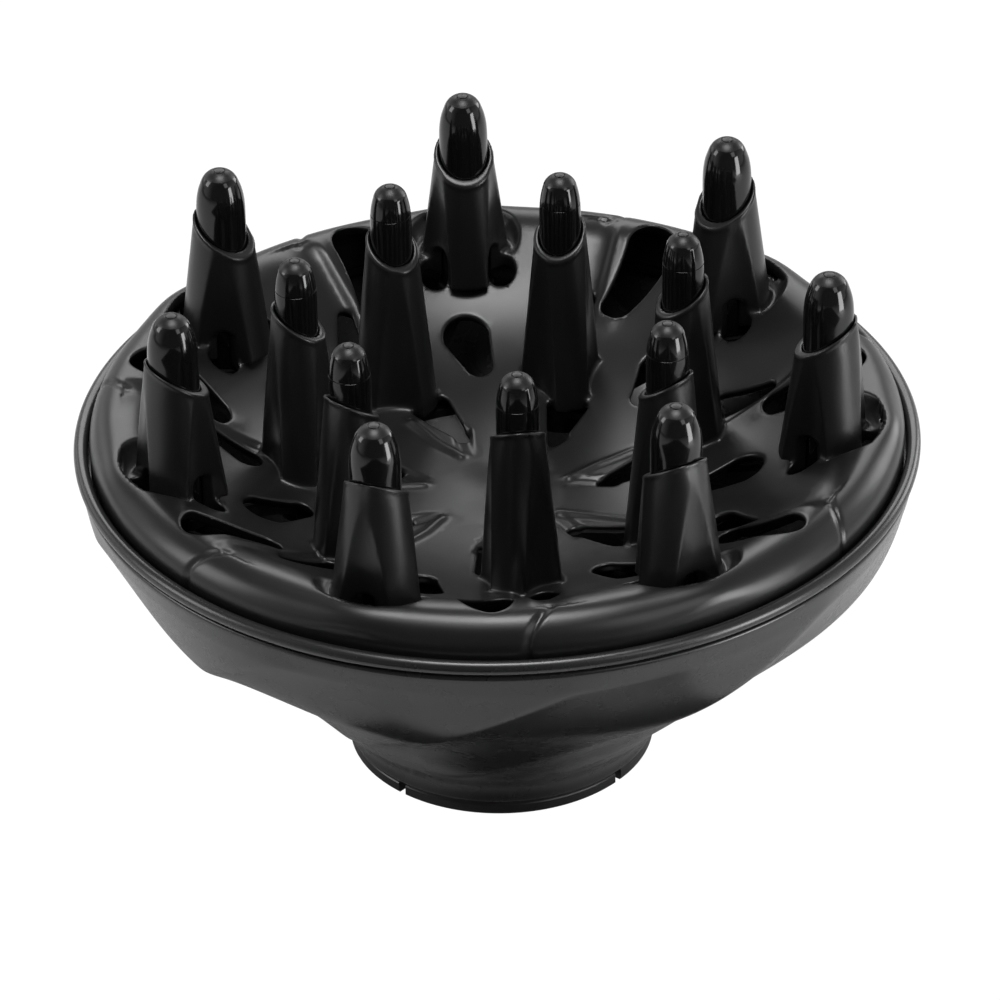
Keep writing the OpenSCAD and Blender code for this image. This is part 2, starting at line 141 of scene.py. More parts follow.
# Fingers
PROUD = 12  # of each prong above its mouth
MOUTH_TILT = 33
MOUTH_BEAD, BEAD_WIDTH = 0.16, 0.32
FLUTES = 3
FLUTE_R = 9.0  # of the shallow hollows cut down each sleeve
FLUTE_DEPTH = 0.33  # of the sleeve's foot radius
BORE_GAP = 0.15
WINDOW_SILL, WINDOW_TALL = 1.2, 2.4
WINDOW_IN = 1  # of a window's middle from the sleeve's foot radius
OUTER_SLEEVE = {
    "mouth_z": OUTER_APEX - PROUD, "base_z": RIM_Z + 1.7, "mouth_r": 5.3, "base_r": 8.1, "stem_r": 4.42,
    "tip_r": 3.6, "first": 0, "window_r": 2.7,
}
INNER_SLEEVE = {
    "mouth_z": INNER_APEX - PROUD, "base_z": RIM_Z - 9.8, "mouth_r": 4.6, "base_r": 7.5, "stem_r": 3.75,
    "tip_r": 3.2, "first": 35, "window_r": 0,
}

# Prongs
PRONG_WALL = 1.1
BULLET = 8.5  # length over which a prong swells from its dome to its stem
SEAM_DROP = 5.4  # of the inner prongs' seam below their tops
OUTER_FOOT, INNER_FOOT = RIM_Z - 3.9, RIM_Z - 13.9
CAP_FROM, CAP_TO = 0.965, 0.971  # share of a prong's height over which its gloss turns satin


# ---------------------------------------------------------------- materials


CLOUDS, SMEARS, PITS = (60, 4), (180, 3), (9000, 2)  # scale and detail of the noises
PIT_DEPTH = 0.00004
ROUGH_SPREAD = 0.12  # share by which roughness varies either way


def noise(tree, where, scale, detail):
    node = tree.nodes.new("ShaderNodeTexNoise")
    node.inputs["Scale"].default_value = scale
    node.inputs["Detail"].default_value = detail
    tree.links.new(where.outputs["Object"], node.inputs["Vector"])
    return node


def mottled(tree, where, shader, colour, mottle):
    """Gives the shader a colour that varies a little."""
    shades = tree.nodes.new("ShaderNodeValToRGB")
    for element, place, share in zip(shades.color_ramp.elements, (0.3, 0.7), (1 - mottle, 1 + mottle)):
        element.position = place
        element.color = [c * share for c in colour] + [1]
    tree.links.new(noise(tree, where, *CLOUDS).outputs["Fac"], shades.inputs["Fac"])
    tree.links.new(shades.outputs["Color"], shader.inputs["Base Color"])


def smeared(tree, where, shader, rough):
    """Gives the shader a roughness that varies a little, and returns its socket."""
    spread = tree.nodes.new("ShaderNodeMapRange")
    spread.inputs["To Min"].default_value = rough * (1 - ROUGH_SPREAD)
    spread.inputs["To Max"].default_value = rough * (1 + ROUGH_SPREAD)
    tree.links.new(noise(tree, where, *SMEARS).outputs["Fac"], spread.inputs["Value"])
    tree.links.new(spread.outputs["Result"], shader.inputs["Roughness"])
    return spread.outputs["Result"]


def capped(tree, where, shader, below, cap_rough):
    """Gives the top of the piece another roughness than the one below it."""
    split = tree.nodes.new("ShaderNodeSeparateXYZ")
    tree.links.new(where.outputs["Generated"], split.inputs["Vector"])
    cap = tree.nodes.new("ShaderNodeMapRange")
    cap.inputs["From Min"].default_value = CAP_FROM
    cap.inputs["From Max"].default_value = CAP_TO
    tree.links.new(split.outputs["Z"], cap.inputs["Value"])
    blend = tree.nodes.new("ShaderNodeMix")
    blend.inputs["B"].default_value = cap_rough
    tree.links.new(cap.outputs["Result"], blend.inputs["Factor"])
    tree.links.new(below, blend.inputs["A"])
    tree.links.new(blend.outputs["Result"], shader.inputs["Roughness"])


def grained(tree, where, shader, grain):
    """Gives the shader a fine moulded grain."""
    bump = tree.nodes.new("ShaderNodeBump")
    bump.inputs["Strength"].default_value = grain
    bump.inputs["Distance"].default_value = PIT_DEPTH
    tree.links.new(noise(tree, where, *PITS).outputs["Fac"], bump.inputs["Height"])
    tree.links.new(bump.outputs["Normal"], shader.inputs["Normal"])


def material(name, colour, rough, grain=0.0, mottle=0.12, specular=0.5, cap_rough=0.0):
    """Moulded plastic."""
    mat = bpy.data.materials.new(name)
    mat.use_nodes = True
    tree = mat.node_tree
    shader = tree.nodes["Principled BSDF"]
    shader.inputs["Specular IOR Level"].default_value = specular
    where = tree.nodes.new("ShaderNodeTexCoord")
    mottled(tree, where, shader, colour, mottle)
    below = smeared(tree, where, shader, rough)
    if cap_rough:
        capped(tree, where, shader, below, cap_rough)
    if grain:
        grained(tree, where, shader, grain)
    return mat


SHELL = material("satin_shell", (0.017, 0.017, 0.0175), 0.27, grain=0.12, mottle=0.06, specular=0.58)
FACE = material("matte_face", (0.010, 0.010, 0.0105), 0.31, grain=0.15, mottle=0.08)
GLOSS = material("gloss_black", (0.005, 0.005, 0.0053), 0.1, mottle=0.05, cap_rough=0.4)
RING = material("clip_black", (0.010, 0.010, 0.011), 0.3, grain=0.1)
DRIVE = material("drive_plastic", (0.03, 0.03, 0.032), 0.5, grain=0.3)


# ---------------------------------------------------------------- mesh helpers


def link(obj):
    bpy.context.scene.collection.objects.link(obj)
    return obj


def mesh_object(name, points, faces, mat):
    """A smooth-shaded object from points in millimetres and faces, a list of index tuples."""
    mesh = bpy.data.meshes.new(name)
    mesh.from_pydata((np.asarray(points) * MM).tolist(), [], faces)
    mesh.update()
    mesh.materials.append(mat)
    mesh.polygons.foreach_set("use_smooth", [True] * len(mesh.polygons))
    return link(bpy.data.objects.new(name, mesh))


def loft_faces(rows, cols, closed_rows, closed_cols):
    """Quads of a grid of rows x cols points, wound so that they face out when rows run down the outside."""
    faces = []
    for i in range(rows if closed_rows else rows - 1):
        a, b = i * cols, (i + 1) % rows * cols
        for j in range(cols if closed_cols else cols - 1):
            k = (j + 1) % cols
            faces.append((a + j, b + j, b + k, a + k))
    return faces


def cubic(t, a, b, c, d):
    """Points of a Bezier curve from a to d at the shares t."""
    a, b, c, d = (np.array(p, float) for p in (a, b, c, d))
    t = np.asarray(t, float)[:, None]
    return (1 - t) ** 3 * a + 3 * (1 - t) ** 2 * t * b + 3 * (1 - t) * t * t * c + t**3 * d


def arc(centre, radius, start, end, steps):
    """Points of an arc, angles in degrees."""
    a = np.radians(np.linspace(start, end, steps + 1))
    return [(centre[0] + radius * math.cos(x), centre[1] + radius * math.sin(x)) for x in a]


def revolve(name, profile, mat, cols):
    """A closed profile of (radius, height), going down the outside, turned about Z."""
    turns = np.radians(np.arange(cols) * 360 / cols)
    points = [(r * math.cos(a), r * math.sin(a), z) for r, z in profile for a in turns]
    return mesh_object(name, points, loft_faces(len(profile), cols, True, True), mat)


def sharpen(obj, degrees):
    """Keeps edges sharper than this crisp."""
    obj.data.set_sharp_from_angle(angle=math.radians(degrees))


# ---------------------------------------------------------------- bowl


def facet_shape(steps):
    """Depth across one facet: it falls fast from one edge and comes back slowly to the other."""
    share = np.arange(steps) / steps
    depth = np.sin(np.pi * share**FACET_SKEW)
    soft = np.exp(-(((share - 0.5) / EDGE_SOFT) ** 2) / 2)
    return np.convolve(np.tile(depth, 3), soft / soft.sum(), "same")[steps : 2 * steps]


def lip_points():
    """From the bore that the dish stands in, over the rolled lip and down to the groove under it."""
    bead = LIP_W / 2
    bore = DISH_R + DISH_GAP
    over = arc((RIM_R - bead, RIM_Z - bead), bead, 165, -40, 14)
    groove = [(RIM_R - inward, RIM_Z - GROOVE_DROP + up) for inward, up in GROOVE]
    return [(bore, LEDGE_Z), (bore, RIM_Z - 2.6), (bore, RIM_Z - bead)] + over + groove


def neck_points():
    """From the facets' feet down the flared neck, and up its bore to the bowl's floor."""
    pulls = (FOOT[0] - 2, FOOT[1] - 2.4), (NECK_R + 0.3, NECK_Z + 3.6)
    flare = cubic(np.linspace(0, 1, 16)[1:], FOOT, *pulls, (NECK_R, NECK_Z + 0.5))
    bore_r = FLANGE_R - 1.5
    return [tuple(p) for p in flare] + [
        (NECK_R - 0.1, NECK_Z + 0.12), (NECK_R - 0.35, NECK_Z), (bore_r, NECK_Z), (bore_r, STOP_Z),
        (STOP_R, STOP_Z), (STOP_R, FLOOR_Z), (FOOT[0] - WALL, FOOT[1]),
    ]


def bowl_rows():
    """Radius, height, facet depth and turn of the bowl's levels, down the outside and up the inside."""
    wall = cubic(np.linspace(0, 1, WALL_LEVELS), SHOULDER, *WALL_PULLS, FOOT)
    fall = (SHOULDER[1] - wall[:, 1]) / (SHOULDER[1] - FOOT[1])
    turn = -FACET_TURN * fall + FACET_BOW * np.sin(np.pi * fall**2)
    depth = FACET_DEPTH * np.sin(np.pi * np.linspace(0.03, 1, WALL_LEVELS)) ** FACET_FADE
    rows = [(r, z, 0, 0) for r, z in lip_points()]
    for share in np.linspace(0, 1, 6)[:-1]:
        r, z = np.array(WALL_TOP) * (1 - share) + np.array(SHOULDER) * share
        rows.append((r, z, depth[0] * share, 0))
    rows += list(zip(wall[:, 0], wall[:, 1], depth, turn))
    rows += [(r, z, 0, turn[-1]) for r, z in neck_points()]
    rows += [(wall[i, 0] - WALL, wall[i, 1], depth[i], turn[i]) for i in range(WALL_LEVELS - 6, 0, -3)]
    ledge_r = DISH_R - LEDGE_W
    ledge = [(SHOULDER[0] - WALL + 0.3, SHOULDER[1]), (ledge_r, LEDGE_Z - LEDGE_T), (ledge_r, LEDGE_Z)]
    rows += [(r, z, 0, 0) for r, z in ledge]
    return np.array(rows)


def build_bowl():
    steps = 48
    cols = FACETS * steps
    radius, height, depth, turn = (column[:, None] for column in bowl_rows().T)
    across = np.tile(facet_shape(steps), FACETS) - EDGE_PROUD
    radius = radius - depth * across
    angle = np.radians(FACET_PHASE + turn + np.arange(cols) * 360 / cols)
    points = np.stack([radius * np.cos(angle), radius * np.sin(angle), np.repeat(height, cols, 1)], -1)
    faces = loft_faces(len(height), cols, True, True)
    obj = mesh_object("bowl_shell", points.reshape(-1, 3), faces, SHELL)
    sharpen(obj, 50)
    return obj


# ---------------------------------------------------------------- dish


def smooth_max(a, b, k):
    """The larger of a and b, blended over a width of k."""
    h = np.clip(0.5 + 0.5 * (a - b) / k, 0, 1)
    return b * (1 - h) + a * h + k * h * (1 - h)


def smooth_min(a, b, k):
    return -smooth_max(-a, -b, k)


def step(a, b, x):
    """Eases from 0 where x is a to 1 where it is b."""
    t = np.clip((x - a) / (b - a), 0, 1)
    return t * t * (3 - 2 * t)


def stroke(x, y, p, q, ends):
    """Signed distance to a stroke from p to q whose half width runs between ends, and the share along it."""
    dx, dy = q[0] - p[0], q[1] - p[1]
    t = np.clip(((x - p[0]) * dx + (y - p[1]) * dy) / (dx * dx + dy * dy), 0, 1)
    return np.hypot(x - p[0] - t * dx, y - p[1] - t * dy) - (ends[0] + (ends[1] - ends[0]) * t), t


def side_of(x, y, p, q):
    """Distance to the left of the line from p to q."""
    dx, dy = q[0] - p[0], q[1] - p[1]
    return ((y - p[1]) * dx - (x - p[0]) * dy) / math.hypot(dx, dy)


def vents(x, y):
    """Signed distance to one sector's vents, each a stroke of two ends and the half widths there.

    The sector's outer finger is on +Y.
    """
    kidney = stroke(x + 0.02 * (y - 54) ** 2 - 0.5, y, (-19.5, 58.8), (-17.6, 48.4), (4.9, 2.7))[0]
    egg = stroke(x, y, (-1.4, 43.1), (0.3, 37.0), (4.2, 2.5))[0]
    tear = stroke(x, y, (-9.4, 26.7), (-4.5, 18.7), (3.7, 1.3))[0]
    leaf = stroke(x, y, (-23.4, 46.2), (-22.6, 38.6), (1.3, 2.7))[0]
    return np.minimum(np.minimum(kidney, egg), np.minimum(tear, leaf))


def crest_line(x, y, points, width):
    """Soft ridge, 1 high, along a line through three points."""
    first = stroke(x, y, points[0], points[1], (0, 0))[0]
    second = stroke(x, y, points[1], points[2], (0, 0))[0]
    return np.exp(-((np.minimum(first, second) / width) ** 2))


def relief(x, y):
    """How far one sector's valleys and ridges lower the dish's top face; below zero raises it."""
    # Valley from the crease on the rolled edge to the leaf-shaped vent: soft outside, steep towards its ridge
    edge = side_of(x, y, (-30.4, 60.0), (-21.0, 42.0))
    along = step(62, 55, y) * step(33, 40, y)
    valley = along * np.where(edge < 0, np.exp(-((edge / 5.0) ** 2)), step(2.6, 0.6, edge))
    valley_ridge = crest_line(x, y, ((-28.0, 58.0), (-22.6, 50.3), (-16.8, 44.6)), 1.5)
    # Wedge groove running in from the teardrop, with a ridge beside it
    side, t = stroke(x, y, (-4.6, 20), (-4.3, 11), (1.5, 1.2))
    groove = (1 - t) * step(0.7, -0.7, side)
    groove_ridge = crest_line(x, y, ((-13.4, 22.6), (-9.4, 16.6), (-5.4, 12.2)), 0.9)
    wedge = WEDGE_DEPTH * groove - WEDGE_RIDGE * groove_ridge
    return VALLEY_DEPTH * valley - VALLEY_RIDGE * valley_ridge + wedge


def creases(x, y):
    """Fold across the rolled edge between two sectors, and the fine line in it."""
    fold, _ = stroke(x, y, (-31.0, 58.6), (-29.2, 66.4), (0.8, 0.15))
    line, _ = stroke(x, y, (-30.4, 61.5), (-29.0, 67.6), (0, 0))
    return FOLD_DEPTH * step(0.7, -0.6, fold) + FOLD_LINE * np.exp(-((line / 0.5) ** 2))


def sector_frames(x, y):
    """The places x, y in the two sectors nearest to them, each turned so that its outer finger is on +Y."""
    r = np.hypot(x, y)
    turn = (np.degrees(np.arctan2(y, x)) - OUTER_PHASE + PITCH / 2) % PITCH - PITCH / 2
    far = np.where(turn < 0, turn + PITCH, turn - PITCH)
    return [(-r * np.sin(np.radians(a)), r * np.cos(np.radians(a))) for a in (turn, far)]


def dish_height(r, push, frames):
    """Height of the dish's top face inside its crest, which stands further out by push."""
    inward = r - push * step(PUSH_FROM, PUSH_TO, r)
    floor = HUB_Z + FLOOR_CURVE * np.minimum(inward, RAMP_FROM) ** 3
    ramp = floor + RAMP_SLOPE * np.clip(inward - RAMP_FROM, 0, CREST_FROM - RAMP_FROM)
    rounded = np.sqrt(np.maximum(CREST_ROUND**2 - (inward - CREST_R) ** 2, 0.01))
    z = np.where(inward > CREST_FROM, CREST_Z - CREST_ROUND + rounded, ramp)
    from_finger = np.hypot(frames[0][0], frames[0][1] - OUTER_R)
    pocket = OUTER_SLEEVE["base_z"] + 0.3 + 0.5 * np.maximum(from_finger - POCKET_R, 0) ** 2
    z = smooth_min(z, pocket, 0.8)
    z = z + HUB_DOME * np.clip(1 - (r / HUB_DOME_R) ** 2, 0, 1) ** 2
    z = z - HUB_GROOVE * np.exp(-(((r - HUB_GROOVE_R) / 0.8) ** 2))
    return z - sum(relief(*place) for place in frames)


def dish_field(voxel):
    """Signed distance field of the dish on a grid, and the grid's corner."""
    xs = np.arange(-DISH_R - 3 * voxel, DISH_R + 3 * voxel, voxel, dtype=np.float32)
    top = OUTER_SLEEVE["mouth_z"] + OUTER_SLEEVE["mouth_r"]
    zs = np.arange(HUB_Z - 6, top, voxel, dtype=np.float32)
    x, y = np.meshgrid(xs, xs, indexing="ij")
    r = np.hypot(x, y)
    frames = sector_frames(x, y)
    push = CREST_PUSH * np.exp(-((frames[0][0] / PUSH_WIDTH) ** 2))
    z = dish_height(r, push, frames)
    fold = sum(creases(*place) for place in frames)
    hole = np.minimum(*(vents(*place) for place in frames))
    slope_x, slope_y = np.gradient(z, voxel)
    slant = 1 / np.sqrt(1 + slope_x**2 + slope_y**2)
    crest = CREST_R + push
    field = np.empty(x.shape + zs.shape, np.float32)
    maps = (a.astype(np.float32)[:, :, None] for a in (r, z, slant, crest, fold, hole))
    for i, (r_i, z_i, slant_i, crest_i, fold_i, hole_i) in enumerate(zip(*maps)):
        roll = DISH_R - crest_i
        inner = (zs - z_i) * slant_i
        outer = np.hypot(r_i - crest_i, np.maximum(zs - CREST_Z + roll, 0)) - roll
        face = np.where(r_i > crest_i, outer, inner) + fold_i
        sheet = np.abs(face + DISH_WALL / 2) - DISH_WALL / 2
        sheet = np.maximum(sheet, np.where(r_i > SKIRT_FROM, LEDGE_Z - zs, -OUTSIDE))
        undercut = VENT_UNDERCUT * np.clip(-face - 0.5, 0, 2)
        field[i] = smooth_max(sheet, undercut - hole_i, 0.6)
    add_fingers(field, frames[0], zs)
    return field, (xs[0], xs[0], zs[0])


def add_fingers(field, place, zs):
    """Joins each outer sleeve, and the inner ones on either side of it, to the grid's columns near them."""
    inner_turn = math.radians(INNER_PHASE - OUTER_PHASE)
    x, y = place
    for sleeve, ring, a in (
        (OUTER_SLEEVE, OUTER_R, 0),
        (INNER_SLEEVE, INNER_R, inner_turn),
        (INNER_SLEEVE, INNER_R, inner_turn - math.radians(PITCH)),
    ):
        out = y * math.cos(a) - x * math.sin(a) - ring
        side = -(x * math.cos(a) + y * math.sin(a))
        near = np.hypot(out, side) < sleeve["base_r"] * 1.9
        px, py = (v[near][:, None].astype(np.float32) for v in (out, side))
        field[near] = add_sleeve(field[near], px, py, zs, sleeve)


def add_sleeve(field, px, py, z, s):
    """Joins one sleeve to the field and cuts its bore and flutes; px points outward, py counter-clockwise."""
    share = (s["mouth_z"] - z) / (s["mouth_z"] - s["base_z"])  # 0 at the mouth, 1 at the foot
    flare = s["base_r"] - s["mouth_r"]
    rad = np.hypot(px, py)
    tilt = math.radians(MOUTH_TILT)
    mouth = (z - s["mouth_z"]) * math.cos(tilt) - px * math.sin(tilt)
    bead = MOUTH_BEAD * np.exp(-(((mouth + 0.3) / BEAD_WIDTH) ** 2))
    cone = (rad - s["mouth_r"] - flare * share) * 0.99 - bead
    cone = np.maximum(cone, s["base_z"] - 3 - z)
    cone = smooth_max(cone, mouth, 0.25)
    sunk = s["base_r"] * FLUTE_DEPTH * np.clip((share - 0.06) / 0.94, 0, 1) ** 1.2
    away = s["mouth_r"] + flare * np.minimum(share, 1) + FLUTE_R - sunk
    up = np.maximum(z - s["base_z"] - WINDOW_SILL, 0) / WINDOW_TALL  # 1 at the top of a window's arch
    window_r = s["window_r"] * np.sqrt(np.maximum(1 - up**2, 0))
    middle = s["base_r"] - WINDOW_IN
    windows = np.float32(OUTSIDE)
    for k in range(FLUTES):
        a = math.radians(s["first"] + 360 / FLUTES * k)
        flute = np.hypot(px - away * math.cos(a), py - away * math.sin(a)) - FLUTE_R
        cone = smooth_max(cone, -flute, 0.15)
        window = np.hypot(px - middle * math.cos(a), py - middle * math.sin(a)) - window_r
        windows = np.minimum(windows, np.where(up < 1, window * 0.9, OUTSIDE))
    field = smooth_min(field, cone, 1.0)
    if s["window_r"]:
        field = smooth_max(field, -windows, 0.3)
    return smooth_max(field, s["stem_r"] + BORE_GAP - rad, 0.2)


def sampled(field, at):
    """The field's value at points given in grid steps, interpolated."""
    low = np.clip(np.floor(at).astype(int), 0, np.array(field.shape) - 2)
    part = (at - low).astype(np.float32)
    value = 0
    for corner in np.ndindex(2, 2, 2):
        weight = np.prod(np.where(corner, part, 1 - part), axis=1)
        value = value + weight * field[tuple((low + corner).T)]
    return value


def normals_of(field, points):
    """Unit normals of the surface, from the field's slope."""
    reach = np.eye(3) * NORMAL_REACH
    slopes = np.stack([sampled(field, points + o) - sampled(field, points - o) for o in reach], 1)
    return slopes / np.maximum(np.linalg.norm(slopes, axis=1, keepdims=True), 1e-6)


def build_dish():
    voxel = VOXEL
    field, corner = dish_field(voxel)
    grid = vdb.FloatGrid(background=1.0)
    grid.copyFromArray(np.clip(field, -1, 1))
    points, tris, quads = grid.convertToPolygons(isovalue=0.0, adaptivity=MESH_ADAPT)
    normals = normals_of(field, points)
    faces = [tuple(f[::-1]) for f in quads.tolist() + tris.tolist()]
    obj = mesh_object("swept_dish", np.array(corner) + points * voxel, faces, FACE)
    mesh = obj.data
    facing = np.zeros(len(mesh.vertices) * 3, np.float32)
    mesh.vertices.foreach_get("normal", facing)
    if (facing.reshape(-1, 3) * normals).sum() < 0:
        mesh.flip_normals()
    mesh.normals_split_custom_set_from_vertices(normals.tolist())
    return obj


# ---------------------------------------------------------------- prongs


def with_seam(outline, apex):
    """The outline with a fine groove round it."""
    r, z = next(p for p in outline[5:] if p[1] < apex - SEAM_DROP)
    above = [p for p in outline if p[1] > z + 0.3]
    below = [p for p in outline if p[1] < z - 0.3]
    groove = [(r - 0.01, z + 0.1), (r - 0.08, z + 0.05), (r - 0.08, z - 0.05), (r + 0.01, z - 0.1)]
    return above + groove + below


def prong_profile(sleeve, apex, foot, seam):
    """Outline of a hollow prong, down its outside and up its hollow."""
    stem, tip = sleeve["stem_r"], sleeve["tip_r"]
    dome = arc((0, apex - tip), tip, 90, 24, 14)
    dome[0] = (0.01, apex)
    dome.insert(4, (dome[3][0] + 0.08, dome[3][1] - 0.18))  # a fine step round the dome's top
    shoulder, waist = apex - BULLET * 0.4, apex - BULLET
    pulls = (tip + 0.12, shoulder), (stem, shoulder - 1.2)
    swell = cubic(np.linspace(0, 1, 15)[1:], dome[-1], *pulls, (stem, waist))
    outline = dome + [tuple(p) for p in swell]
    if seam:
        outline = with_seam(outline, apex)
    bore = stem - PRONG_WALL
    return outline + [
        (stem, foot + 0.3), (stem - 0.3, foot), (bore, foot),
        (bore, waist), (tip - PRONG_WALL, apex - tip), (0.01, apex - PRONG_WALL),
    ]


def build_prongs():
    for ring, sleeve, radius, phase, apex, foot in (
        ("outer", OUTER_SLEEVE, OUTER_R, OUTER_PHASE, OUTER_APEX, OUTER_FOOT),
        ("inner", INNER_SLEEVE, INNER_R, INNER_PHASE, INNER_APEX, INNER_FOOT),
    ):
        profile = prong_profile(sleeve, apex, foot, ring == "inner")
        for k in range(FINGERS):
            obj = revolve(f"{ring}_tip_{k + 1}", profile, GLOSS, 64)
            sharpen(obj, 25)
            a = math.radians(phase + k * PITCH)
            obj.location = (radius * math.cos(a) * MM, radius * math.sin(a) * MM, 0)
            obj.rotation_euler.z = a
            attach(obj, "prongs")
            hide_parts(f"{ring}_prong_{k + 1}")


# ---------------------------------------------------------------- clip ring


def build_clip_flange():
    """A flange in four sprung quarters."""
    edge = FLANGE_EDGE
    outline = [
        (FLANGE_R - 0.5, FLANGE_H), (FLANGE_R - 0.15, 2.9), (FLANGE_R - 0.15, 2.2), (FLANGE_R, 2.0),
        (FLANGE_R, edge), (FLANGE_R - edge, 0.0), (BARREL_R + edge, 0.0), (BARREL_R, edge),
        (BARREL_R, CLIP_SLOT_H), (CLIP_R, CLIP_SLOT_H), (CLIP_R, FLANGE_H),
    ]
    count, steps = len(outline), 40
    quarter = 360 / CLIP_QUARTERS
    half_slot = math.degrees(CLIP_SLOT_W / 2 / FLANGE_R)
    points, faces = [], []
    for k in range(CLIP_QUARTERS):
        start = CLIP_PHASE + k * quarter
        turns = np.radians(np.linspace(start + half_slot, start + quarter - half_slot, steps))
        base = len(points)
        points += [(r * math.cos(a), r * math.sin(a), z) for r, z in outline for a in turns]
        faces += [tuple(base + i for i in f) for f in loft_faces(count, steps, True, False)]
        faces.append(tuple(base + i * steps for i in range(count)))
        faces.append(tuple(base + i * steps + steps - 1 for i in reversed(range(count))))
    obj = mesh_object("clip_flange", points, faces, RING)
    sharpen(obj, 35)
    return obj


def build_clip_sleeve():
    """The sleeve of the clip ring, which stands in the neck."""
    edge = 0.3
    outline = [
        (CLIP_R - edge, CLIP_TOP), (CLIP_R, CLIP_TOP - edge), (CLIP_R, CLIP_SLOT_H),
        (BARREL_R, CLIP_SLOT_H), (BARREL_R, CLIP_TOP - edge), (BARREL_R + edge, CLIP_TOP),
    ]
    obj = revolve("clip_sleeve", outline, RING, 160)
    sharpen(obj, 35)
    return obj


bowl = build_bowl()
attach(bowl, "bowl")
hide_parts("outer_bowl")
dish = build_dish()
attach(dish, "dish")
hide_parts("front_dish")
build_prongs()
for piece in (build_clip_flange(), build_clip_sleeve()):
    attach(piece, "bowl")
    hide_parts("clip_ring")
for node, mat in (("cam_collar", DRIVE), ("prong_carrier", RING), ("cam_pins", DRIVE)):
    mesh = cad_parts[node].data
    mesh.materials.clear()
    mesh.materials.append(mat)


# ---------------------------------------------------------------- stage

CAMERA_WHITE = 0.96  # share of white that the camera sees
FLOOR_MIRRORED, SKY_MIRRORED = 0.05, 0.6  # share of white that reflections see
SKY_PLAIN = 0.1  # strength of the sky as a light
HORIZON_LOW, HORIZON_HIGH, SKY_TOP = 0.1, 0.95, 0.04  # the mirrored sky fades from 1 to SKY_TOP on its way up
FRONT_DARK, FRONT_LIGHT, SKY_FRONT = -0.75, -0.3, 0.08  # and down to SKY_FRONT behind the camera
FLOOR_SIDE = 2.0
FLOOR_GREY = 0.8
FLOOR_WHITE = 1.05
CARD_GREY = 0.01
CARD_UP = 0.002
CARDS = {  # left, right, front and back edge of each dark card on the floor
    "front_card": (-0.22, 0.22, -1.2, -0.15),
    "foot_card": (-0.035, 0.055, -0.07, -0.03),
}
LAMPS = {  # place, height on the axis that the lamp looks at, size and power
    "overhead": ((0, -0.06, 0.9), 0.05, (0.35, 0.3), 4.0),
    "back_box": ((0, 0.72, 0.55), 0.05, (0.8, 0.3), 2.4),
    "front_box": ((0, -0.3, 0.85), 0.05, (0.5, 0.3), 0.8),
    "right_box": ((0.5, -0.55, 0.55), 0.05, (0.3, 0.4), 0.7),
    "left_box": ((-0.75, -0.05, 0.4), 0.05, (0.3, 0.4), 1.5),
    "right_low": ((0.33, -0.19, 0.09), 0.09, (0.13, 0.17), 0.6),
    "left_back": ((-0.6, 0.5, 0.3), 0.05, (0.4, 0.3), 0.25),
    "right_back": ((0.6, 0.5, 0.25), 0.05, (0.3, 0.3), 1.2),
}
CAMERA_PLACE, CAMERA_AIM = (0.00034, -0.91201, 0.63386), (0.00034, 0, 0.04921)
CAMERA_LENS = 218.4
CAMERA_ROLL = 0.94  # degrees


def rectangle(name, left, right, front, back, height, mat):
    """A flat piece of the stage."""
    mesh = bpy.data.meshes.new(name)
    rim = [(left, front, height), (right, front, height), (right, back, height), (left, back, height)]
    mesh.from_pydata(rim, [], [(0, 1, 2, 3)])
    mesh.materials.append(mat)
    obj = link(bpy.data.objects.new(name, mesh))
    return obj


def joined(tree, kind, one, other):
    """The output of a math node; other is a socket or a number."""
    node = tree.nodes.new("ShaderNodeMath")
    node.operation = kind
    tree.links.new(one, node.inputs[0])
    if isinstance(other, float):
        node.inputs[1].default_value = other
    else:
        tree.links.new(other, node.inputs[1])
    return node.outputs["Value"]


def shown_white(tree, plain, white, share):
    """A plain shader that the camera sees as white, and reflections and glass as a share of white."""
    seen = tree.nodes.new("ShaderNodeLightPath")
    mirrored = joined(tree, "MAXIMUM", seen.outputs["Is Glossy Ray"], seen.outputs["Is Transmission Ray"])
    mirrored = joined(tree, "MULTIPLY", mirrored, share)
    direct = joined(tree, "MULTIPLY", seen.outputs["Is Camera Ray"], CAMERA_WHITE)
    mix = tree.nodes.new("ShaderNodeMixShader")
    tree.links.new(joined(tree, "MAXIMUM", mirrored, direct), mix.inputs["Fac"])
    tree.links.new(plain, mix.inputs[1])
    tree.links.new(white, mix.inputs[2])
    return mix.outputs["Shader"]


def floor_material():
    """Pale floor: white to the camera, nearly dark in reflections, and plain grey to the light."""
    mat = bpy.data.materials.new("floor")
    mat.use_nodes = True
    tree = mat.node_tree
    shader = tree.nodes["Principled BSDF"]
    shader.inputs["Base Color"].default_value = (FLOOR_GREY, FLOOR_GREY, FLOOR_GREY, 1)
    shader.inputs["Roughness"].default_value = 0.9
    shader.inputs["Specular IOR Level"].default_value = 0.1
    white = tree.nodes.new("ShaderNodeEmission")
    white.inputs["Color"].default_value = (1, 1, 1, 1)
    white.inputs["Strength"].default_value = FLOOR_WHITE
    shown = shown_white(tree, shader.outputs["BSDF"], white.outputs["Emission"], FLOOR_MIRRORED)
    tree.links.new(shown, tree.nodes["Material Output"].inputs["Surface"])
    return mat


def faded(tree, source, low, high, bottom):
    """A value that goes from bottom where source is low to 1 where it is high."""
    fade = tree.nodes.new("ShaderNodeMapRange")
    fade.inputs["From Min"].default_value = low
    fade.inputs["From Max"].default_value = high
    fade.inputs["To Min"].default_value = bottom
    tree.links.new(source, fade.inputs["Value"])
    return fade.outputs["Result"]


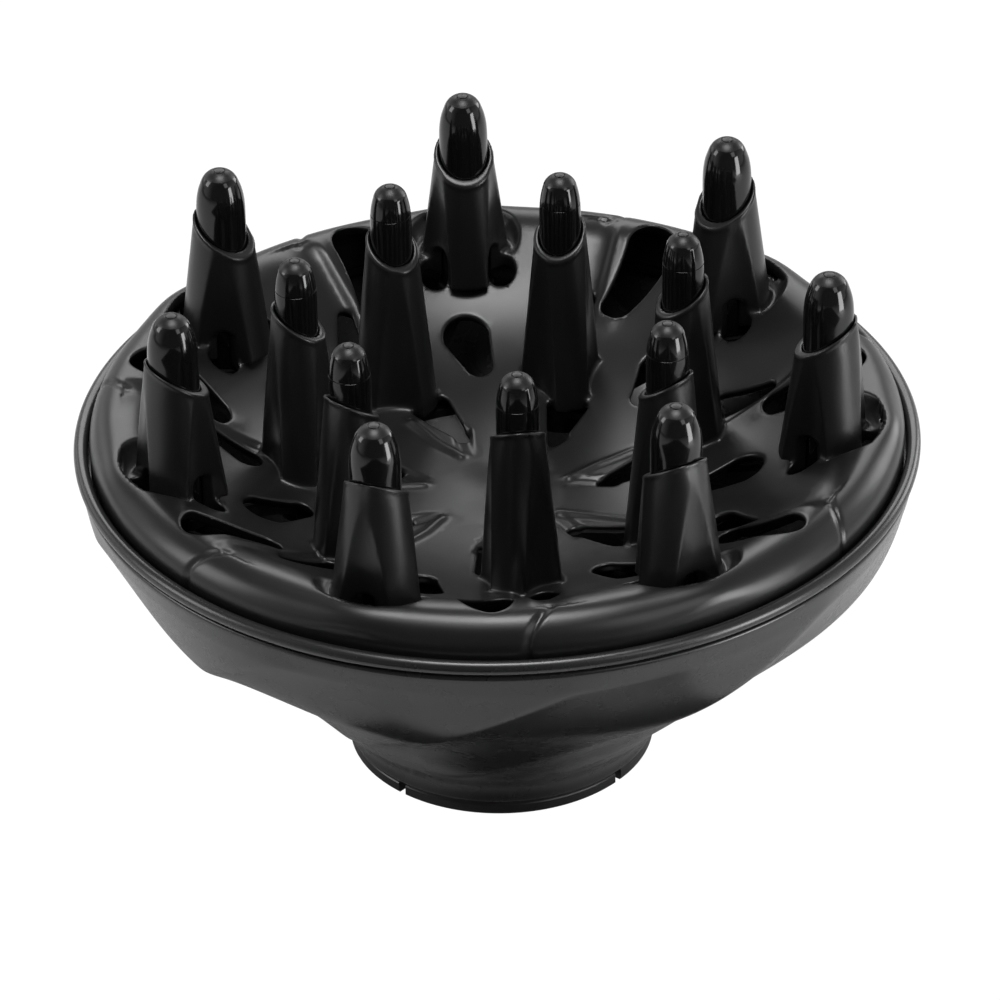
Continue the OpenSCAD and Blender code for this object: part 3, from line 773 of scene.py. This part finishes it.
def build_sky():
    """White to the camera; in reflections, bright near the horizon and dark above and behind the camera."""
    world = bpy.data.worlds.new("studio")
    bpy.context.scene.world = world
    world.use_nodes = True
    tree = world.node_tree
    plain = tree.nodes["Background"]
    plain.inputs["Color"].default_value = (1, 1, 1, 1)
    plain.inputs["Strength"].default_value = SKY_PLAIN
    white = tree.nodes.new("ShaderNodeBackground")
    white.inputs["Color"].default_value = (1, 1, 1, 1)
    where = tree.nodes.new("ShaderNodeTexCoord")
    split = tree.nodes.new("ShaderNodeSeparateXYZ")
    tree.links.new(where.outputs["Generated"], split.inputs["Vector"])
    height = faded(tree, split.outputs["Z"], HORIZON_HIGH, HORIZON_LOW, SKY_TOP)
    front = faded(tree, split.outputs["Y"], FRONT_DARK, FRONT_LIGHT, SKY_FRONT)
    mirrored = joined(tree, "MULTIPLY", height, front)
    seen = tree.nodes.new("ShaderNodeLightPath")
    strength = joined(tree, "MAXIMUM", mirrored, seen.outputs["Is Camera Ray"])
    tree.links.new(strength, white.inputs["Strength"])
    shown = shown_white(tree, plain.outputs["Background"], white.outputs["Background"], SKY_MIRRORED)
    tree.links.new(shown, tree.nodes["World Output"].inputs["Surface"])


def lamp(name, place, aim_z, size, power):
    data = bpy.data.lights.new(name, "AREA")
    data.shape = "RECTANGLE"
    data.size, data.size_y = size
    data.energy = power
    obj = link(bpy.data.objects.new(name, data))
    obj.location = place
    obj.rotation_euler = (Vector((0, 0, aim_z)) - Vector(place)).to_track_quat("-Z", "Y").to_euler()
    obj.visible_camera = False


def dark_cards():
    """Black cards on the floor in front, unseen by the camera, that keep the upright faces dark."""
    mat = bpy.data.materials.new("card")
    mat.use_nodes = True
    shader = mat.node_tree.nodes["Principled BSDF"]
    shader.inputs["Base Color"].default_value = (CARD_GREY, CARD_GREY, CARD_GREY, 1)
    for name, edges in CARDS.items():
        rectangle(name, *edges, CARD_UP, mat).visible_camera = False


def build_camera():
    data = bpy.data.cameras.new("camera")
    data.lens = CAMERA_LENS
    data.sensor_width = 36
    data.clip_end = 10
    obj = link(bpy.data.objects.new("camera", data))
    place = Vector(CAMERA_PLACE)
    facing = (Vector(CAMERA_AIM) - place).to_track_quat("-Z", "Y")
    obj.location = place
    obj.rotation_euler = (facing @ Quaternion((0, 0, 1), math.radians(-CAMERA_ROLL))).to_euler()
    bpy.context.scene.camera = obj


rectangle("floor", -FLOOR_SIDE, FLOOR_SIDE, -FLOOR_SIDE, FLOOR_SIDE, 0, floor_material())
build_sky()
build_camera()
for name, settings in LAMPS.items():
    lamp(name, *settings)
dark_cards()

bpy.context.scene.view_settings.view_transform = "Standard"
